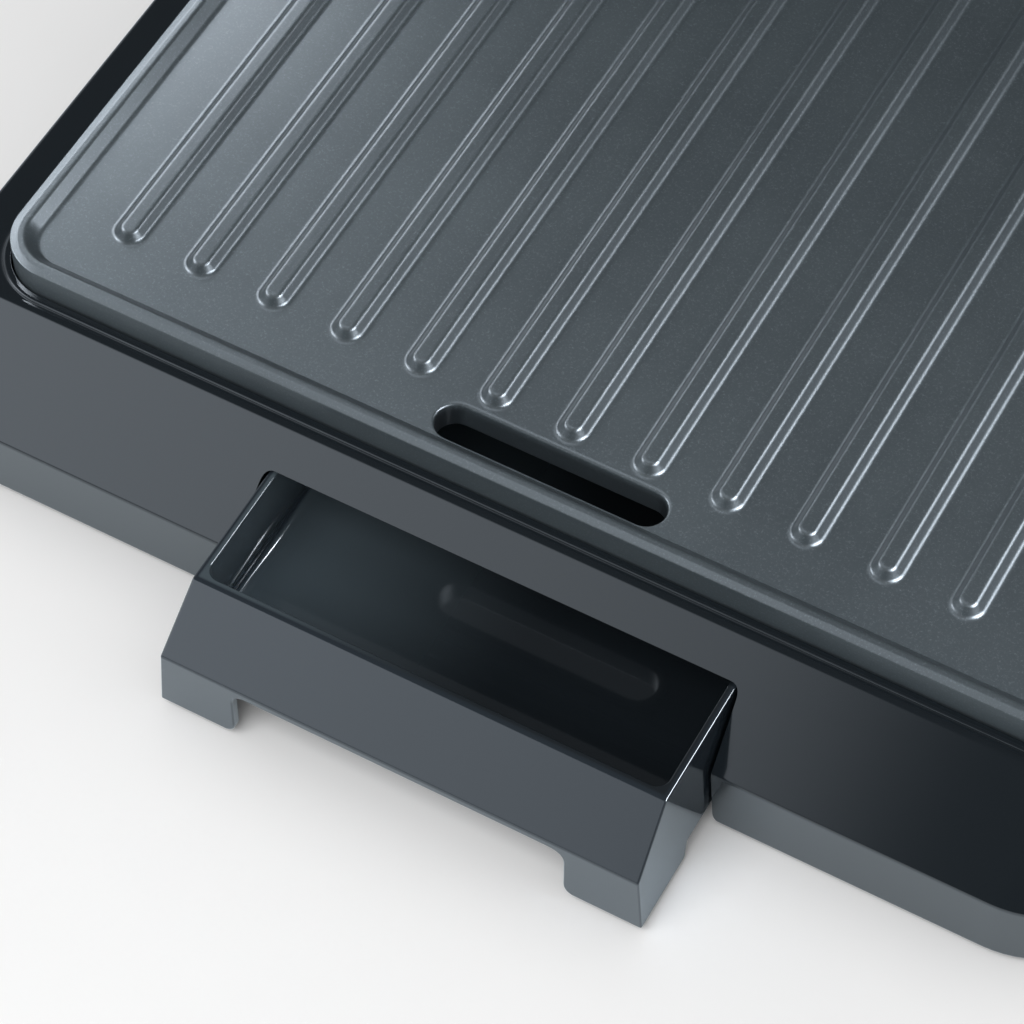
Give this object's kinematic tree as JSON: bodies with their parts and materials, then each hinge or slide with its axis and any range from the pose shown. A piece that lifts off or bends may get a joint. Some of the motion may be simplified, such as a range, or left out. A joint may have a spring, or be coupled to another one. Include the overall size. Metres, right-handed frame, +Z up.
{
  "type": "contact grill",
  "caption": "Countertop contact grill with ribbed plates, a floating hinged lid, a handle, a temperature dial and a pull-out drip tray in the sloping front.",
  "frame": {"origin": "bottom centre of the whole grill as it stands, lid open and drip tray pulled out", "axes": "+Z up, +Y from the front with the drip tray to the hinge at the back, +X to the right seen from the front"},
  "size_m": [0.32, 0.4106, 0.4012],
  "materials": {
    "housing": "high-gloss anthracite plastic",
    "tray_gloss": "high-gloss anthracite plastic",
    "plate_coating": "satin grey non-stick coating with fine speckle",
    "black_plastic": "fine-grained black plastic",
    "steel": "zinc-plated steel",
    "heater_steel": "dull heater tube",
    "pan_metal": "aluminised sheet",
    "ceramic": "unglazed ceramic",
    "fuse_sleeve": "woven glass sleeve",
    "lead_insulation": "heat-proof insulation",
    "rubber": "black rubber",
    "bearing_plastic": "natural acetal",
    "brushed_panel": "brushed along the width",
    "lens_red": "clear red lens",
    "lens_green": "clear green lens",
    "grip": "fine-grained heat-proof plastic",
    "handle_metal": "satin cast aluminium",
    "knob": "satin anthracite plastic"
  },
  "bodies": {
    "base": {"base_housing": "housing", "base_cover": "black_plastic", "base_screws": "steel", "lower_plate": "plate_coating", "lower_plate_screws": "steel", "lower_heater": "heater_steel", "lower_heater_clamps": "steel", "lower_heat_pan": "pan_metal", "overheat_switch": "ceramic", "thermal_fuse": "fuse_sleeve", "terminal_block": "ceramic", "lower_leads": "lead_insulation", "cord_gland": "rubber", "tower_screws": "steel", "foot_front_left": "rubber", "foot_rear_left": "rubber", "foot_front_right": "rubber", "foot_rear_right": "rubber", "tray_guide_right": "black_plastic", "tray_guide_left": "black_plastic", "hinge_tower_right": "housing", "hinge_tower_left": "housing"},
    "drip_tray": {"drip_tray": "tray_gloss"},
    "hinge_float": {"hinge_rod": "steel", "slide_block_right": "bearing_plastic", "slide_block_left": "bearing_plastic"},
    "lid": {"lid_shell": "housing", "lid_frame": "black_plastic", "lid_frame_screws": "steel", "top_panel": "brushed_panel", "upper_plate": "plate_coating", "upper_plate_screws": "steel", "upper_heater": "heater_steel", "upper_heater_clamps": "steel", "upper_heat_pan": "pan_metal", "control_thermostat": "ceramic", "power_lamp_lens": "lens_red", "ready_lamp_lens": "lens_green", "lamp_bodies": "ceramic", "upper_leads": "lead_insulation", "hinge_sleeve": "black_plastic", "hinge_arm_screws": "steel", "handle_grip": "grip", "grip_screws": "steel", "handle_screws": "steel", "hinge_arm_right": "black_plastic", "hinge_arm_left": "black_plastic", "handle_arm_right": "handle_metal", "handle_arm_left": "handle_metal", "grip_cap_right": "handle_metal", "grip_cap_left": "handle_metal"},
    "temperature_knob": {"knob": "knob", "knob_shaft": "steel"}
  },
  "joints": [
    {"name": "tray_slide", "type": "slide", "parent": "base", "child": "drip_tray", "axis": [0, -1, 0], "range_m": [-0.033, 0.112]},
    {"name": "hinge_float", "type": "slide", "parent": "base", "child": "hinge_float", "axis": [0, 0, 1], "range_m": [0, 0.014]},
    {"name": "lid_hinge", "type": "hinge", "parent": "hinge_float", "child": "lid", "pos_m": [0, 0.12351, 0.07], "axis": [1, 0, 0], "range_deg": [0, 100]},
    {"name": "knob_turn", "type": "hinge", "parent": "lid", "child": "temperature_knob", "pos_m": [0, 0.18505, 0.32113], "axis": [0, -0.8878, -0.4603], "range_deg": [0, 270]}
  ]
}
